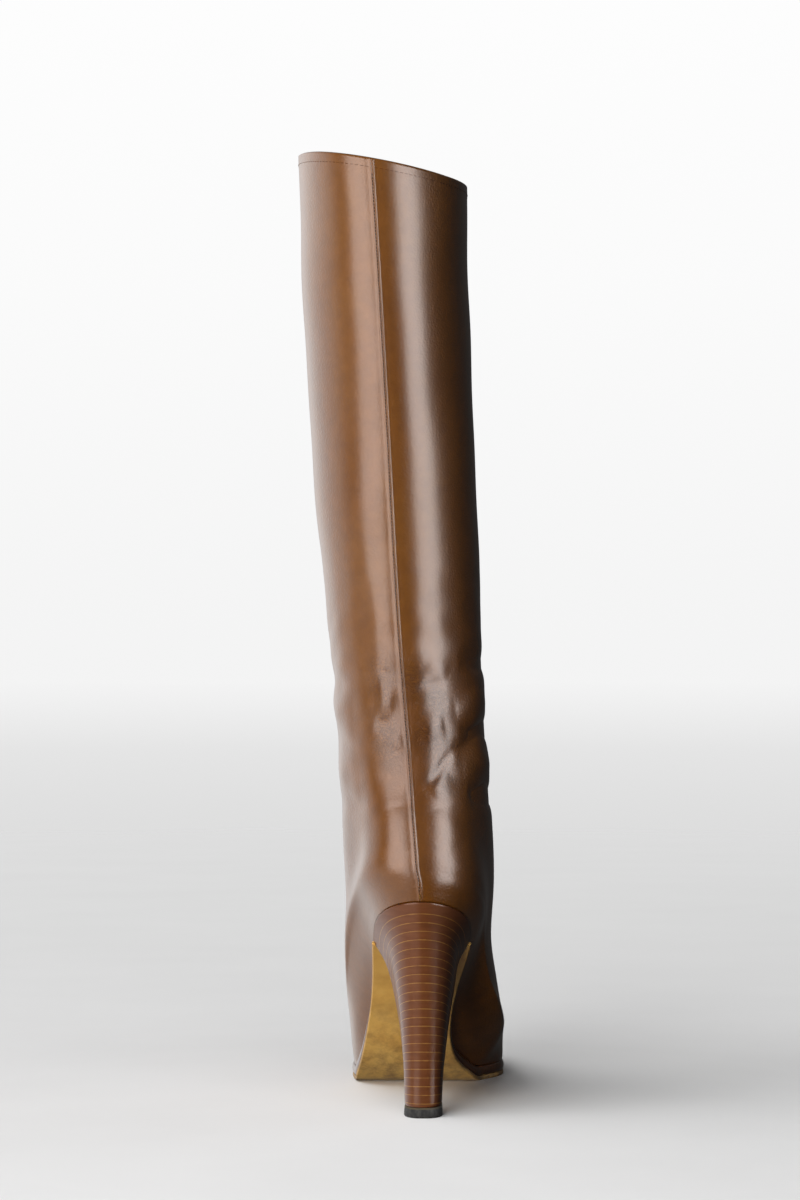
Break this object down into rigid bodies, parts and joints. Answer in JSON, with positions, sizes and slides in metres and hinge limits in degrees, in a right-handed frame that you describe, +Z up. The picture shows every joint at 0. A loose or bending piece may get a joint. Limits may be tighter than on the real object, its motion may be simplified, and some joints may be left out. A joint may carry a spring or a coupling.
{
  "type": "tall heeled leather boot",
  "caption": "Tall pull-on leather boot with a smooth shaft, raised back seam, thin covered platform and stacked block heel.",
  "frame": {"origin": "middle of the top lift's face on the floor", "axes": "+Z up, +Y from the heel to the toe, +X to the inner side of the foot"},
  "size_m": [0.1034, 0.2354, 0.4751],
  "materials": {
    "upper_leather": "smooth glossy cognac calf leather with fine grain and soft ankle creases",
    "insole_leather": "plain matt tan lining leather",
    "platform_leather": "smooth glossy brown leather cover",
    "sole_leather": "golden tan sole leather, worn and scuffed at the tread",
    "stacked_leather": "polished dark brown stacked layers with thin golden lines",
    "lift_rubber": "matt dark grey rubber"
  },
  "bodies": {
    "root": {"upper": "upper_leather", "insole": "insole_leather", "platform": "platform_leather", "outsole": "sole_leather", "heel": "stacked_leather", "top_lift": "lift_rubber"}
  },
  "joints": []
}
